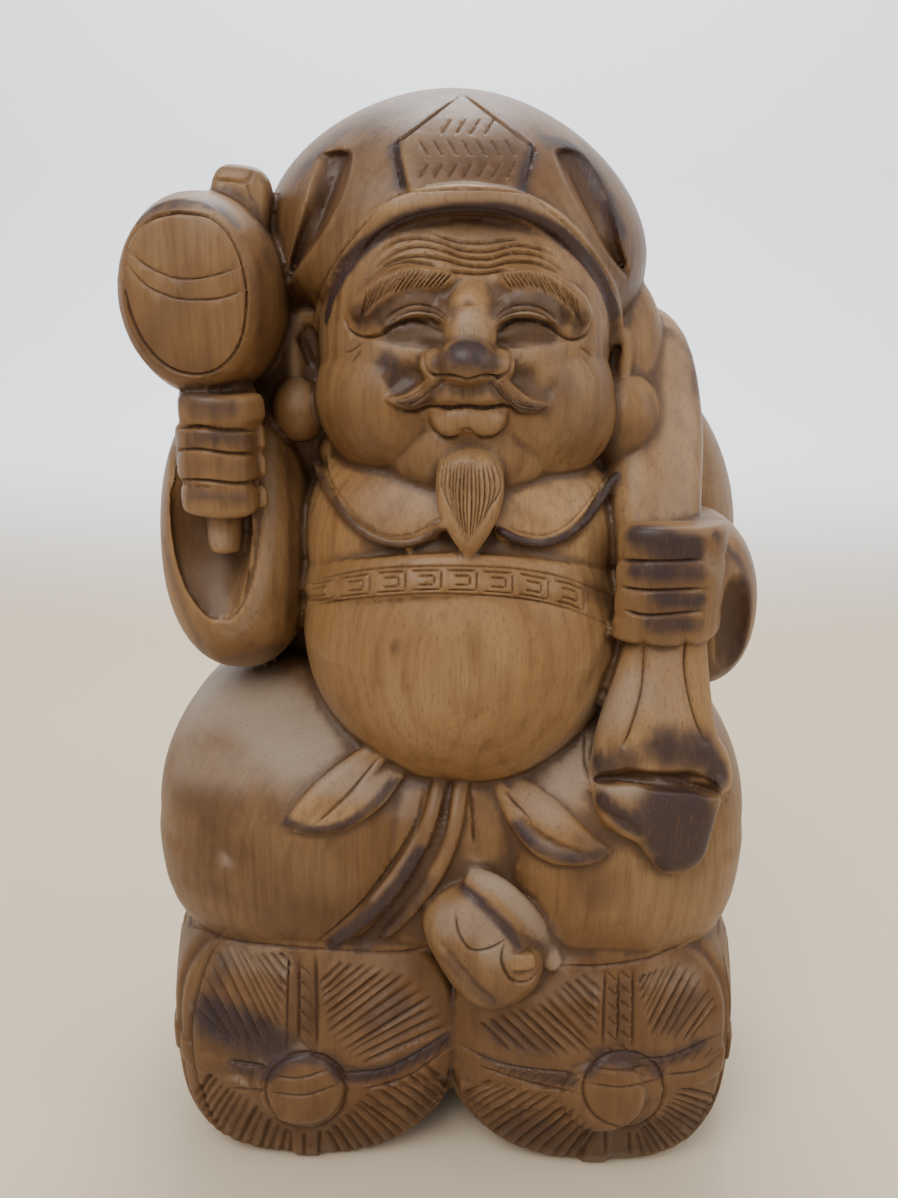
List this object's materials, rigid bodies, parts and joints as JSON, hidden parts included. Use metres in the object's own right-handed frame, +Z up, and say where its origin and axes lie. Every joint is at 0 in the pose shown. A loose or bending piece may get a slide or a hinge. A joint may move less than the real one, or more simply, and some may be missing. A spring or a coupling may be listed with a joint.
{
  "type": "daikoku figure",
  "caption": "Carved wooden figure of Daikoku standing on rice bales, with a raised mallet, a sack over his shoulder, a soft cap and a bare belly, for a floor, shelf or alcove.",
  "frame": {"origin": "on the floor under the middle of the figure", "axes": "+Z up through the figure, +X to the left hand with the sack (a viewer's right), -Y the way he faces"},
  "size_m": [0.4478, 0.3365, 0.7576],
  "materials": {
    "carved_wood": "warm brown stain and wax, satin, with darker edges and greyer bales"
  },
  "bodies": {
    "root": {"daikoku_figure": "carved_wood"}
  },
  "joints": []
}
